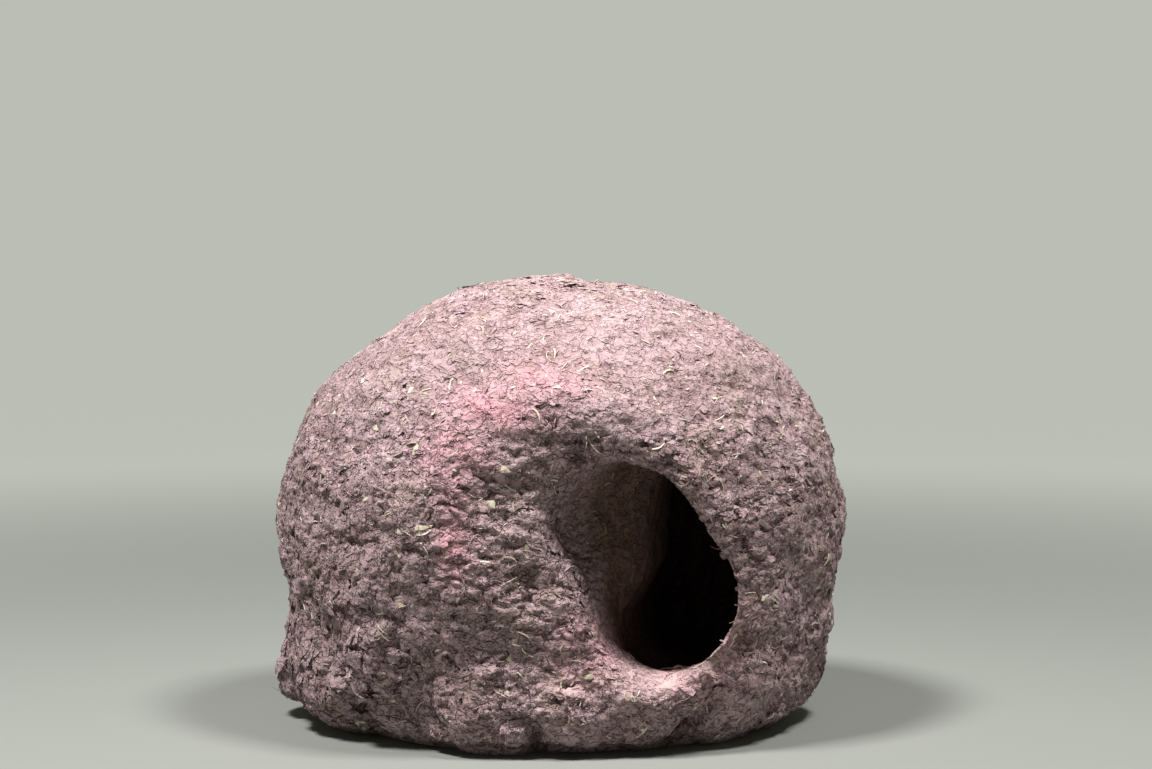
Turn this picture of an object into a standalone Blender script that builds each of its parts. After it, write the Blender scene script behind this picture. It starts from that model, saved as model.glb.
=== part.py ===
"""A domed mud nest, built by a bird in one piece of clay and chopped straw.

The dome is wider than it is tall and stands on a foot that is cut flat. Its front wall winds
inwards at the mouth, like a snail's shell, and becomes a partition: the way in passes between that
partition and the right-hand wall, turns round the partition's free end at the back, and opens into
the room on the left. The whole is one solid, skinned over one net of rings that runs from the far
end of the room, out through the mouth and over the dome to its back.

Metres, +Z up, the mouth on the -Y side. The origin is at the middle of the flat foot.
"""

import math

import bmesh
import bpy
import numpy as np

# Driving dimensions of the dome
HALF_WIDTH = 0.138
HALF_DEPTH = 0.126
BELT_HEIGHT = 0.095  # where the dome is widest
RISE_ABOVE_BELT = 0.121
DROP_BELOW_BELT = 0.163  # the lower half is a taller ellipsoid, which the foot cuts off
WALL = 0.029  # least thickness of the dome's wall

# From the dome's own centre line to the middle of the finished outline
SHIFT = (0.0008, -0.0045)

# Mouth: twelve reaches from its middle, every 30 degrees from the right, going up and over to the left
MOUTH_X = 0.046
MOUTH_HEIGHT = 0.082
MOUTH_REACH = (0.030, 0.0255, 0.028, 0.041, 0.054, 0.047, 0.030, 0.031, 0.040, 0.043, 0.0405, 0.0365)
MOUTH_Y = (-0.097, -0.101, -0.105, -0.105, -0.099, -0.086, -0.084, -0.085, -0.089, -0.098, -0.101, -0.099)
LIP_WIDTH = (0.016, 0.016, 0.015, 0.015, 0.017, 0.028, 0.029, 0.024, 0.018, 0.014, 0.015, 0.016)

# Plan of the way in, from behind the mouth to the end of the room: the partition's side and the wall's side
PARTITION_SIDE = (
    (0.042, -0.058),
    (0.051, -0.026),
    (0.050, 0.006),
    (0.038, 0.031),
    (0.024, 0.030),
    (0.017, 0.004),
    (0.008, -0.028),
    (-0.006, -0.050),
)
WALL_SIDE = (
    (0.104, -0.058),
    (0.112, -0.014),
    (0.108, 0.045),
    (0.060, 0.098),
    (-0.040, 0.104),
    (-0.114, 0.060),
    (-0.122, -0.005),
    (-0.100, -0.062),
)
FLOOR_HEIGHT = (0.027, 0.027, 0.028, 0.029, 0.029, 0.029, 0.029, 0.031)
CEILING_HEIGHT = (0.140, 0.146, 0.154, 0.164, 0.176, 0.184, 0.186, 0.180)
ROOM_END = (-0.010, -0.027, 0.0)  # how far the room's rounded end goes beyond the last ring
SQUARENESS_BELOW = 3.4  # power of the rounded rectangle in the rings' lower half: 2 is an ellipse
SQUARENESS_ABOVE = 2.4

# The partition leans over the way in: how far back its foot stands, the heights in half heights of a ring
# where that starts and is full, and the shares of the way along which it fades out
PARTITION_FOOT_SET = 0.015
PARTITION_FOOT_FROM = (0.0, -0.6)
PARTITION_FOOT_FADE = (0.2, 0.4)

# Curves that join dome, mouth and way in: how far each end's way is followed, in gaps between the rings
OUTER_LIP_PULL = (0.5, 0.35)
INNER_LIP_PULL = (0.33, 0.33)
LIP_LEAN = 0.35  # sideways slope of the way in at the mouth, per metre inwards
LIP_LEAN_LEFT = 0.3  # more of it at the mouth's left edge
LIP_STEP = 0.02  # radians on the dome that give the way in which it meets the lip

# Hollow above and left of the mouth, where the front wall winds in under a brow
HOLLOW_MIDDLE = (-0.002, 0.093)
HOLLOW_HALF_SIZE = (0.055, 0.060)
HOLLOW_SQUARENESS = 2.6
HOLLOW_DEPTH = 0.0125
HOLLOW_STEEP_FROM = (-0.5, 0.6)  # heights, in half heights, between which its edge turns steep
HOLLOW_DROP = 0.070  # how far below its middle it runs out, and by what power of the way down
HOLLOW_DROP_POWER = 2
HOLLOW_EDGE = 0.45  # where the steep edge's slope ends, from its middle (0) to its outline (1)
HOLLOW_ON_FRONT = (0.15, 0.5)  # it fades in where the dome faces the front by this much
BROW_RISE = 0.003
BROW_PLACE = 1.12
BROW_HALF_WIDTH = 0.15

# Clods round the foot: bearing from the front in degrees, height, half width in degrees, half height, rise
CLODS = (
    (-88, 0.020, 8, 0.013, 0.0060),
    (-63, 0.013, 12, 0.017, 0.0070),
    (-42, 0.037, 9, 0.013, 0.0060),
    (-41, 0.008, 9, 0.009, 0.0030),
    (-19, 0.014, 14, 0.018, 0.0075),
    (3, 0.013, 9, 0.012, 0.0040),
    (19, 0.010, 11, 0.011, 0.0045),
    (46, 0.013, 15, 0.018, 0.0065),
    (66, 0.012, 9, 0.013, 0.0040),
    (84, 0.022, 14, 0.018, 0.0045),
    (110, 0.013, 12, 0.013, 0.0060),
    (131, 0.018, 12, 0.016, 0.0045),
    (152, 0.012, 14, 0.016, 0.0065),
    (176, 0.016, 13, 0.014, 0.0050),
    (-158, 0.011, 12, 0.013, 0.0060),
    (-134, 0.020, 15, 0.018, 0.0060),
    (-110, 0.012, 12, 0.014, 0.0050),
)

# Cracks between clods: bearing and height of one end, then of the other, half width, depth
CRACKS = (
    (-51, 0.004, -49, 0.030, 0.0026, 0.0075),
    (-5, 0.000, -7, 0.012, 0.0030, 0.0070),
    (-7, 0.012, -12, 0.024, 0.0026, 0.0045),
    (30, 0.000, 31, 0.008, 0.0032, 0.0075),
    (31, 0.008, 36, 0.026, 0.0026, 0.0035),
    (97, 0.000, 96, 0.030, 0.0026, 0.0045),
    (164, 0.000, 166, 0.026, 0.0026, 0.0045),
    (-122, 0.000, -124, 0.030, 0.0026, 0.0045),
)

# Broad dents: bearing, height, half width in degrees, half height, depth
DENTS = (
    (-33, 0.026, 8, 0.011, 0.0055),
    (62, 0.066, 16, 0.018, 0.0030),
    (-64, 0.058, 14, 0.016, 0.0025),
    (140, 0.070, 20, 0.026, 0.0035),
    (-150, 0.060, 18, 0.022, 0.0030),
)

# Broad swellings, in the same order: the one low on the left, and the sill
SWELLINGS = (
    (-86, 0.022, 34, 0.022, 0.011),
    (24, 0.029, 15, 0.009, 0.004),
)

# Waver of the outlines of clods, cracks and dents: how far, how long, and a number that picks its places
WAVER_IN_DEGREES = (3.0, 0.014, 9)
WAVER_IN_HEIGHT = (0.0035, 0.016, 8)

CLOD_SPREAD_ABOVE = 1.9  # a clod thins out upwards, into the dome, and ends sharply below
CLOD_POWER_ABOVE = 0.9
CLOD_POWER_BELOW = 0.5
FOOT_ROUND = 0.012  # height over which the foot turns under
FOOT_TUCK = 0.075  # share of the radius that it turns under
BELOW_CUT = 0.004  # how far the uncut form goes below the flat cut

# Net of the form before it is thinned, and the number of faces after
RINGS_ROOM_END = 8
RINGS_ROOM = 110
RINGS_LIP = 24
RINGS_DOME = 150
POINTS_PER_RING = 240
FACES_AFTER = 9000
CUT_CLEARANCE = 0.001  # points this near the flat cut are moved below it, so that it leaves no slivers

# Unevenness of the dome: height, size of its lumps, and a number that picks their places
UNEVENNESS = ((0.0028, 0.050, 3), (0.0016, 0.020, 5), (0.0007, 0.012, 7))

CENTRE = np.array([0.0, 0.0, BELT_HEIGHT])
MUD_COLOUR = (0.40, 0.30, 0.295, 1.0)


def ease(low, high, value):
    """0 below low, 1 above high, and a smooth step between."""
    share = np.clip((value - low) / (high - low), 0, 1)
    return share * share * (3 - 2 * share)


def cell_values(cells, seed):
    """A fixed number from -1 to 1 for each whole-number cell."""
    i = cells.astype(np.int64)
    mixed = i[..., 0] * 374761393 + i[..., 1] * 668265263 + i[..., 2] * 2147483647 + seed * 974634777
    mixed &= 0xFFFFFFFF
    mixed = ((mixed ^ (mixed >> 13)) * 1274126177) & 0xFFFFFFFF
    mixed = (mixed ^ (mixed >> 16)) & 0xFFFFFF
    return mixed / float(0x7FFFFF) - 1.0


def lumps(points, size, seed):
    """Smooth unevenness from -1 to 1, with features about as large as size."""
    scaled = points / size
    base = np.floor(scaled)
    share = scaled - base
    share = share**3 * (share * (share * 6 - 15) + 10)
    total = 0.0
    for corner in range(8):
        step = np.array([corner & 1, corner >> 1 & 1, corner >> 2 & 1])
        weight = np.prod(np.where(step, share, 1 - share), axis=-1)
        total = total + weight * cell_values(base + step, seed)
    return total


def waver(points, row):
    """Unevenness by one row of a table: its height, its size, and the number that picks its places."""
    height, size, seed = row
    return height * lumps(points, size, seed)


def smooth_curve(a, b, c, d, share):
    """Catmull-Rom: from b to c, with the neighbours a and d."""
    return 0.5 * (
        2 * b + (c - a) * share + (2 * a - 5 * b + 4 * c - d) * share**2 + (3 * b - a - 3 * c + d) * share**3
    )


def along(values, share):
    """A smooth open curve through the values, read at shares from 0 to 1 of the way."""
    known = np.asarray(values, float)
    known = np.concatenate([[2 * known[0] - known[1]], known, [2 * known[-1] - known[-2]]])
    place = np.clip(share * (len(known) - 3), 0, len(known) - 3 - 1e-9)
    i = np.floor(place).astype(int)
    rest = (place - i).reshape(-1, *[1] * (known.ndim - 1))
    return smooth_curve(known[i], known[i + 1], known[i + 2], known[i + 3], rest)


def around(values, turn):
    """A smooth closed curve through values spaced evenly round a full turn."""
    known = np.asarray(values, float)
    n = len(known)
    place = turn / (2 * math.pi) * n
    i = np.floor(place).astype(int)
    return smooth_curve(known[(i - 1) % n], known[i % n], known[(i + 1) % n], known[(i + 2) % n], place - i)


def half_height(z_from_belt):
    """The dome's half height, which differs above and below its belt."""
    return np.where(z_from_belt > 0, RISE_ABOVE_BELT, DROP_BELOW_BELT)


def unit(vectors):
    return vectors / np.linalg.norm(vectors, axis=-1, keepdims=True)


def bearing_between(a, b):
    """Degrees from b to a, the short way round."""
    return (a - b + 180) % 360 - 180


def clod_rise(bearing, height):
    """Height of the clods above the dome. Each is a cap, and the highest one counts."""
    rise = np.zeros_like(height)
    for middle, level, half_bearing, half_size, top in CLODS:
        up = height - level
        reach = half_size * np.where(up > 0, CLOD_SPREAD_ABOVE, 1.0)
        left = np.clip(1 - (bearing_between(bearing, middle) / half_bearing) ** 2 - (up / reach) ** 2, 0, 1)
        rise = np.maximum(rise, top * left ** np.where(up > 0, CLOD_POWER_ABOVE, CLOD_POWER_BELOW))
    return rise


def crack_depth(bearing, height):
    """Depth of the cracks: each is a groove along a straight line on the dome."""
    metres_per_degree = math.radians(HALF_DEPTH)
    depth = np.zeros_like(height)
    for bearing_a, height_a, bearing_b, height_b, half_width, deep in CRACKS:
        x = bearing_between(bearing, bearing_a) * metres_per_degree
        z = height - height_a
        run_x = (bearing_b - bearing_a) * metres_per_degree
        run_z = height_b - height_a
        share = np.clip((x * run_x + z * run_z) / (run_x**2 + run_z**2), 0, 1)
        distance = np.hypot(x - share * run_x, z - share * run_z)
        depth = np.maximum(depth, deep * np.exp(-((distance / half_width) ** 2)))
    return depth


def bells(bearing, height, table):
    """Sum of the table's bell-shaped rises."""
    total = np.zeros_like(height)
    for middle, level, half_bearing, half_size, top in table:
        across = bearing_between(bearing, middle) / half_bearing
        total += top * np.exp(-(across**2) - ((height - level) / half_size) ** 2)
    return total


def hollow_depth(x, height):
    """Depth of the hollow beside the mouth, less the rise of the brow round its upper edge."""
    across = np.abs(x - HOLLOW_MIDDLE[0]) / HOLLOW_HALF_SIZE[0]
    up = (height - HOLLOW_MIDDLE[1]) / HOLLOW_HALF_SIZE[1]
    place = (across**HOLLOW_SQUARENESS + np.abs(up) ** HOLLOW_SQUARENESS) ** (1 / HOLLOW_SQUARENESS)
    steep = ease(*HOLLOW_STEEP_FROM, up)
    down = np.clip((HOLLOW_MIDDLE[1] - height) / HOLLOW_DROP, 0, 1)
    gentle_slope = (1 - ease(0.0, 1.0, across)) * (1 - down**HOLLOW_DROP_POWER)
    steep_slope = 1 - ease(HOLLOW_EDGE, 1.0, place)
    brow = BROW_RISE * np.exp(-(((place - BROW_PLACE) / BROW_HALF_WIDTH) ** 2)) * steep
    return HOLLOW_DEPTH * ((1 - steep) * gentle_slope + steep * steep_slope) - brow


def dome(directions):
    """Points of the outside, where rays from the dome's centre in these directions leave it."""
    tall = half_height(directions[..., 2])
    reach = 1 / np.sqrt(
        (directions[..., 0] / HALF_WIDTH) ** 2
        + (directions[..., 1] / HALF_DEPTH) ** 2
        + (directions[..., 2] / tall) ** 2
    )
    plain = CENTRE + directions * reach[..., None]
    bearing = np.degrees(np.arctan2(plain[..., 0], -plain[..., 1]))
    height = plain[..., 2]
    rise = sum(waver(plain, row) for row in UNEVENNESS) + bells(bearing, height, SWELLINGS)
    wavy_bearing = bearing + waver(plain, WAVER_IN_DEGREES)
    wavy_height = height + waver(plain, WAVER_IN_HEIGHT)
    rise += clod_rise(wavy_bearing, wavy_height) - crack_depth(wavy_bearing, wavy_height)
    rise -= bells(wavy_bearing, wavy_height, DENTS)
    rise -= ease(*HOLLOW_ON_FRONT, -directions[..., 1]) * hollow_depth(plain[..., 0], height)
    return turn_under(CENTRE + directions * (reach + rise)[..., None])


def turn_under(points):
    """Draws the foot's edge in, and flattens what is below it."""
    under = np.clip(1 - points[..., 2] / FOOT_ROUND, 0, 1) ** 2
    points[..., :2] *= (1 - FOOT_TUCK * under)[..., None]
    fall = CENTRE[2] - points[..., 2]
    share = np.minimum(1, (CENTRE[2] + BELOW_CUT) / np.maximum(fall, 1e-9))
    return CENTRE + (points - CENTRE) * share[..., None]


def keep_wall(points):
    """Draws points in towards the centre, so that the dome's wall keeps its thickness."""
    off = points - CENTRE
    tall = half_height(off[..., 2])
    inner = np.sqrt(
        (off[..., 0] / (HALF_WIDTH - WALL)) ** 2
        + (off[..., 1] / (HALF_DEPTH - WALL)) ** 2
        + (off[..., 2] / (tall - WALL)) ** 2
    )
    return CENTRE + off / np.maximum(1, inner)[..., None]


def way_in(share, turn):
    """Rings of the way in and the room: rounded rectangles from the partition's side to the wall's."""
    near, far = along(PARTITION_SIDE, share), along(WALL_SIDE, share)
    floor, ceiling = along(FLOOR_HEIGHT, share), along(CEILING_HEIGHT, share)
    power = 2 / np.where(np.sin(turn) < 0, SQUARENESS_BELOW, SQUARENESS_ABOVE)
    across = np.sign(np.cos(turn)) * np.abs(np.cos(turn)) ** power
    upwards = np.sign(np.sin(turn)) * np.abs(np.sin(turn)) ** power
    half = (far - near) / 2
    flat = ((near + far) / 2)[:, None, :] + half[:, None, :] * across[None, :, None]
    low = np.clip(-across, 0, 1) * ease(*PARTITION_FOOT_FROM, upwards)
    set_back = PARTITION_FOOT_SET * (1 - ease(*PARTITION_FOOT_FADE, share))[:, None] * low[None, :]
    flat -= unit(half)[:, None, :] * set_back[..., None]
    height = ((ceiling + floor) / 2)[:, None] + ((ceiling - floor) / 2)[:, None] * upwards[None, :]
    return keep_wall(np.dstack([flat, height]))


def bridge(start, start_way, end, end_way, count, pulls):
    """Rings between two rings, along cubic curves that leave and arrive by the given ways."""
    gap = np.linalg.norm(end - start, axis=1)[:, None]
    first = start + unit(start_way) * gap * pulls[0]
    second = end - unit(end_way) * gap * pulls[1]
    share = np.linspace(0, 1, count + 2)[1:-1, None, None]
    rest = 1 - share
    return rest**3 * start + 3 * rest**2 * share * first + 3 * rest * share**2 * second + share**3 * end


def nest_rings():
    """All rings, from the room's far end to the dome's back, and the two end points."""
    turn = np.arange(POINTS_PER_RING) / POINTS_PER_RING * 2 * math.pi
    room = way_in(np.linspace(0, 1, RINGS_ROOM), turn)

    # The room's far end is rounded
    last, middle = room[-1], room[-1].mean(axis=0)
    angle = (np.arange(1, RINGS_ROOM_END) / RINGS_ROOM_END * math.pi / 2)[:, None, None]
    room_end = keep_wall(middle + (last - middle) * np.cos(angle) + np.array(ROOM_END) * np.sin(angle))
    deepest = keep_wall(middle + np.array(ROOM_END))

    # The mouth's ring, and the ring on the dome where its lip begins
    reach, lip = around(MOUTH_REACH, turn), around(LIP_WIDTH, turn)
    right, up = np.cos(turn), np.sin(turn)
    mouth = np.stack([MOUTH_X + reach * right, around(MOUTH_Y, turn), MOUTH_HEIGHT + reach * up], axis=-1)
    x = MOUTH_X + (reach + lip) * right
    z = MOUTH_HEIGHT + (reach + lip) * up - BELT_HEIGHT
    y = -HALF_DEPTH * np.sqrt(1 - (x / HALF_WIDTH) ** 2 - (z / half_height(z)) ** 2)
    lip_way = unit(np.stack([x, y, z], axis=-1))

    # Directions on the dome fan out from the mouth's middle to the point opposite
    ahead = unit(np.array([MOUTH_X, y.mean(), MOUTH_HEIGHT - BELT_HEIGHT]))
    lip_angle = np.arccos(lip_way @ ahead)
    side = unit(lip_way - np.cos(lip_angle)[:, None] * ahead)

    def ring_at(angle):
        return dome(np.cos(angle)[..., None] * ahead + np.sin(angle)[..., None] * side)

    lip_ring = ring_at(lip_angle)
    towards_mouth = lip_ring - ring_at(lip_angle + LIP_STEP)
    lean = np.clip(-right, 0, 1) * LIP_LEAN_LEFT + LIP_LEAN
    inwards = np.stack([lean, np.ones_like(lean), np.zeros_like(lean)], axis=-1)
    outer_lip = bridge(lip_ring, towards_mouth, mouth, inwards, RINGS_LIP, OUTER_LIP_PULL)
    inner_lip = bridge(mouth, inwards, room[0], room[1] - room[0], RINGS_LIP, INNER_LIP_PULL)

    share = (np.arange(1, RINGS_DOME) / RINGS_DOME)[:, None]
    over_dome = ring_at(lip_angle + (math.pi - lip_angle) * share)
    back = dome(-ahead)
    rings = np.concatenate(
        [room_end[::-1], room[::-1], inner_lip[::-1], mouth[None], outer_lip[::-1], lip_ring[None], over_dome]
    )
    return rings, deepest, back


def skin(rings, first_end, last_end):
    """Vertices and faces of a closed skin over the rings, with a fan at each end."""
    count, points = rings.shape[:2]
    row = np.arange(count - 1)[:, None] * points
    here = np.arange(points)
    after = (here + 1) % points
    quads = np.stack([row + here, row + points + here, row + points + after, row + after], axis=-1)
    first, last, final = count * points, count * points + 1, (count - 1) * points
    fans = [(first, a, b) for a, b in zip(here, after)]
    fans += [(last, final + b, final + a) for a, b in zip(here, after)]
    vertices = np.vstack([rings.reshape(-1, 3), first_end, last_end])
    return vertices, quads.reshape(-1, 4).tolist() + [tuple(int(i) for i in fan) for fan in fans]


def thinned(mesh):
    """The same form with fewer faces, kept where it curves most."""
    full = bpy.data.objects.new("full_form", mesh)
    bpy.context.scene.collection.objects.link(full)
    fewer = full.modifiers.new("fewer_faces", "DECIMATE")
    fewer.ratio = FACES_AFTER / sum(len(face.vertices) - 2 for face in mesh.polygons)
    graph = bpy.context.evaluated_depsgraph_get()
    result = bpy.data.meshes.new_from_object(full.evaluated_get(graph))
    bpy.data.objects.remove(full)
    return result


def cut_foot(mesh):
    """Cuts the form off flat at height 0 and closes the cut with one flat face."""
    form = bmesh.new()
    form.from_mesh(mesh)
    for vertex in form.verts:
        if abs(vertex.co.z) < CUT_CLEARANCE:
            vertex.co.z = -CUT_CLEARANCE
    whole = form.verts[:] + form.edges[:] + form.faces[:]
    cut = bmesh.ops.bisect_plane(
        form, geom=whole, dist=1e-6, plane_co=(0, 0, 0), plane_no=(0, 0, 1), clear_inner=True
    )
    edges = [item for item in cut["geom_cut"] if isinstance(item, bmesh.types.BMEdge)]
    bmesh.ops.edgeloop_fill(form, edges=edges)
    bmesh.ops.triangulate(form, faces=form.faces[:])
    bmesh.ops.recalc_face_normals(form, faces=form.faces[:])
    form.to_mesh(mesh)
    form.free()


def mud():
    material = bpy.data.materials.new("dried_mud")
    material.use_nodes = True
    finish = material.node_tree.nodes["Principled BSDF"]
    finish.inputs["Base Color"].default_value = MUD_COLOUR
    finish.inputs["Roughness"].default_value = 0.95
    finish.inputs["Metallic"].default_value = 0.0
    return material


def main():
    for obj in list(bpy.data.objects):
        bpy.data.objects.remove(obj)
    vertices, faces = skin(*nest_rings())
    vertices[:, :2] += SHIFT
    mesh = bpy.data.meshes.new("mud_nest")
    mesh.from_pydata(vertices.tolist(), [], faces)
    mesh = thinned(mesh)
    cut_foot(mesh)
    mesh.name = "mud_nest"
    mesh.shade_smooth()
    mesh.materials.append(mud())
    nest = bpy.data.objects.new("mud_nest", mesh)
    bpy.context.scene.collection.objects.link(nest)


main()
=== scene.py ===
import math
import bpy
import numpy as np
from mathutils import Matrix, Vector


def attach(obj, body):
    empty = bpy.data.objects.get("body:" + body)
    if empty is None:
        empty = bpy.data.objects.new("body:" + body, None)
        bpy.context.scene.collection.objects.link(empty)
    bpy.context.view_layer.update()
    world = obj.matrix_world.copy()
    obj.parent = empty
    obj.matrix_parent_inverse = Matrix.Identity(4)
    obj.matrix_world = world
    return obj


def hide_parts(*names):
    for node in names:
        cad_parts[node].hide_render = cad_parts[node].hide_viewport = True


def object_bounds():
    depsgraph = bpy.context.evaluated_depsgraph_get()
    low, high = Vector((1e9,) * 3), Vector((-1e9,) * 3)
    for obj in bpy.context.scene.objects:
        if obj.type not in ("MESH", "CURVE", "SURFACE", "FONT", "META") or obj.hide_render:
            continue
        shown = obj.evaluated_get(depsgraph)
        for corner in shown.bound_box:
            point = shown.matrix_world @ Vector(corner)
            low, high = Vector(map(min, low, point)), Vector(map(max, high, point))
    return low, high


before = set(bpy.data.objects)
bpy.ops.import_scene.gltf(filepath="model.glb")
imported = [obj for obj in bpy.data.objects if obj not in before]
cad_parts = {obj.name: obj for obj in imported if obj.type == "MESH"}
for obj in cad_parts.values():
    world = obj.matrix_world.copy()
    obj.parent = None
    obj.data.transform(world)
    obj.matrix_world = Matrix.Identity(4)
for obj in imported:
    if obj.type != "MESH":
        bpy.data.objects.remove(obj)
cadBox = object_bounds()  # the solid's box, before anything is dressed
print("frame loaded")

# The nest's form: an upright ellipsoid, cut off flat, with a mouth that winds in past a partition.
# These are the solid's own measures in metres, because the mud here is laid over the same form.
form = {
    "halfWidth": 0.138,
    "halfDepth": 0.126,
    "belt": 0.095,
    "rise": 0.121,
    "drop": 0.163,
    "wall": 0.029,
    "shift": (0.0008, -0.0045),
    "unevenness": ((0.0028, 0.050, 3), (0.0016, 0.020, 5), (0.0007, 0.012, 7)),
    "footRound": 0.012,
    "footTuck": 0.075,
    "clodAbove": (1.9, 0.9),  # how far a clod reaches in half heights, and the power of its edge
    "clodBelow": (1.0, 0.5),
    "waver": ((3.0, 0.014, 9), (0.0035, 0.016, 8)),  # of bearings in degrees and heights: how far, size, seed
}
mouth = {  # lists of twelve: every 30 degrees from the right, going up and over to the left
    "x": 0.046,
    "height": 0.082,
    "reach": (0.030, 0.0255, 0.028, 0.041, 0.054, 0.047, 0.030, 0.031, 0.040, 0.043, 0.0405, 0.0365),
    "y": (-0.097, -0.101, -0.105, -0.105, -0.099, -0.086, -0.084, -0.085, -0.089, -0.098, -0.101, -0.099),
    "lip": (0.016, 0.016, 0.015, 0.015, 0.017, 0.028, 0.029, 0.024, 0.018, 0.014, 0.015, 0.016),
    "lean": (0.35, 0.3),  # of the way in to the right, and how much more on the left
    "outerPull": (0.5, 0.35),  # how far the curves over the lip run straight on at each end
    "innerPull": (0.33, 0.33),
}
room = {  # plan of the way in, from behind the mouth to the far end of the room
    "partitionSide": ((0.042, -0.058), (0.051, -0.026), (0.050, 0.006), (0.038, 0.031),
                      (0.024, 0.030), (0.017, 0.004), (0.008, -0.028), (-0.006, -0.050)),
    "wallSide": ((0.104, -0.058), (0.112, -0.014), (0.108, 0.045), (0.060, 0.098),
                 (-0.040, 0.104), (-0.114, 0.060), (-0.122, -0.005), (-0.100, -0.062)),
    "floor": (0.027, 0.027, 0.028, 0.029, 0.029, 0.029, 0.029, 0.031),
    "ceiling": (0.140, 0.146, 0.154, 0.164, 0.176, 0.184, 0.186, 0.180),
    "squareness": (3.4, 2.4),  # below and above the middle
    "footSet": 0.015,
    "footSetEnds": (0.2, 0.4),  # shares of the way in between which it fades
    "end": (-0.010, -0.027, 0.0),
}
hollow = {  # beside the mouth, with a brow round its top
    "middle": (-0.002, 0.093),
    "halfSize": (0.055, 0.060),
    "squareness": 2.6,
    "steepOver": (-0.5, 0.6),  # from gentle below to steep above, in half heights from the middle
    "edge": 0.45,  # where the steep part starts to rise, in half sizes
    "drop": 0.070,  # the gentle part runs out this far below the middle
    "deep": 0.0125,
    "brow": 0.003,
    "browAt": 1.12,  # in half sizes from the middle
    "browWidth": 0.15,
}
clods = (  # bearing from the front in degrees, height, half width in degrees, half height, rise
    (-88, 0.020, 8, 0.013, 0.0060),
    (-63, 0.013, 12, 0.017, 0.0070),
    (-42, 0.037, 9, 0.013, 0.0060),
    (-41, 0.008, 9, 0.009, 0.0030),
    (-19, 0.014, 14, 0.018, 0.0075),
    (3, 0.013, 9, 0.012, 0.0040),
    (19, 0.010, 11, 0.011, 0.0045),
    (46, 0.013, 15, 0.018, 0.0065),
    (66, 0.012, 9, 0.013, 0.0040),
    (84, 0.022, 14, 0.018, 0.0045),
    (110, 0.013, 12, 0.013, 0.0060),
    (131, 0.018, 12, 0.016, 0.0045),
    (152, 0.012, 14, 0.016, 0.0065),
    (176, 0.016, 13, 0.014, 0.0050),
    (-158, 0.011, 12, 0.013, 0.0060),
    (-134, 0.020, 15, 0.018, 0.0060),
    (-110, 0.012, 12, 0.014, 0.0050),
)
cracks = (  # bearing and height of one end, then of the other, half width, depth
    (-51, 0.004, -49, 0.030, 0.0026, 0.0075),
    (-5, 0.000, -7, 0.012, 0.0030, 0.0070),
    (-7, 0.012, -12, 0.024, 0.0026, 0.0045),
    (30, 0.000, 31, 0.008, 0.0032, 0.0075),
    (31, 0.008, 36, 0.026, 0.0026, 0.0035),
    (97, 0.000, 96, 0.030, 0.0026, 0.0045),
    (164, 0.000, 166, 0.026, 0.0026, 0.0045),
    (-122, 0.000, -124, 0.030, 0.0026, 0.0045),
)
dents = (  # bearing, height, half width in degrees, half height, depth
    (-33, 0.026, 8, 0.011, 0.0055),
    (62, 0.066, 16, 0.018, 0.0030),
    (-64, 0.058, 14, 0.016, 0.0025),
    (140, 0.070, 20, 0.026, 0.0035),
    (-150, 0.060, 18, 0.022, 0.0030),
)
swellings = (  # bearing, height, half width in degrees, half height, rise
    (-86, 0.022, 34, 0.022, 0.011),
    (24, 0.029, 15, 0.009, 0.004),
)
centre = np.array([0.0, 0.0, form["belt"]])


def ease(low, high, value):
    # 0 below low, 1 above high, share squared times (3 - 2 share) between
    share = np.clip((value - low) / (high - low), 0, 1)
    return share * share * (3 - 2 * share)


def unit(vectors):
    return vectors / np.maximum(np.linalg.norm(vectors, axis=-1, keepdims=True), 1e-12)


def cellValues(cells, seed):
    # a fixed number from -1 to 1 for each whole-number cell, by mixing the bits of its place
    i = cells.astype(np.int64)
    mixed = i[..., 0] * 374761393 + i[..., 1] * 668265263 + i[..., 2] * 2147483647 + seed * 974634777
    mixed &= 0xFFFFFFFF
    mixed = ((mixed ^ (mixed >> 13)) * 1274126177) & 0xFFFFFFFF
    mixed = (mixed ^ (mixed >> 16)) & 0xFFFFFF
    return mixed / float(0x7FFFFF) - 1.0


def lumps(points, size, seed):
    # value noise: the eight corner values of a cell of this size, blended by quintic steps
    scaled = points / size
    base = np.floor(scaled)
    share = scaled - base
    share = share ** 3 * (share * (share * 6 - 15) + 10)
    total = 0.0
    for corner in range(8):
        step = np.array([corner & 1, corner >> 1 & 1, corner >> 2 & 1])
        weight = np.prod(np.where(step, share, 1 - share), axis=-1)
        total = total + weight * cellValues(base + step, seed)
    return total


def smoothCurve(a, b, c, d, share):
    # Catmull-Rom from b to c
    return 0.5 * (2 * b + (c - a) * share + (2 * a - 5 * b + 4 * c - d) * share ** 2
                  + (3 * b - a - 3 * c + d) * share ** 3)


def along(values, share):
    # smooth open curve through the values, its ends carried straight on
    known = np.asarray(values, float)
    known = np.concatenate([[2 * known[0] - known[1]], known, [2 * known[-1] - known[-2]]])
    place = np.clip(share * (len(known) - 3), 0, len(known) - 3 - 1e-9)
    i = np.floor(place).astype(int)
    rest = (place - i).reshape(-1, *[1] * (known.ndim - 1))
    return smoothCurve(known[i], known[i + 1], known[i + 2], known[i + 3], rest)


def around(values, turn):
    # smooth closed curve through values spaced evenly round a full turn
    known = np.asarray(values, float)
    n = len(known)
    place = turn / (2 * math.pi) * n
    i = np.floor(place).astype(int)
    return smoothCurve(known[(i - 1) % n], known[i % n], known[(i + 1) % n], known[(i + 2) % n], place - i)


def halfHeight(fromBelt):
    return np.where(fromBelt > 0, form["rise"], form["drop"])


def bearingBetween(a, b):
    return (a - b + 180) % 360 - 180


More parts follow.
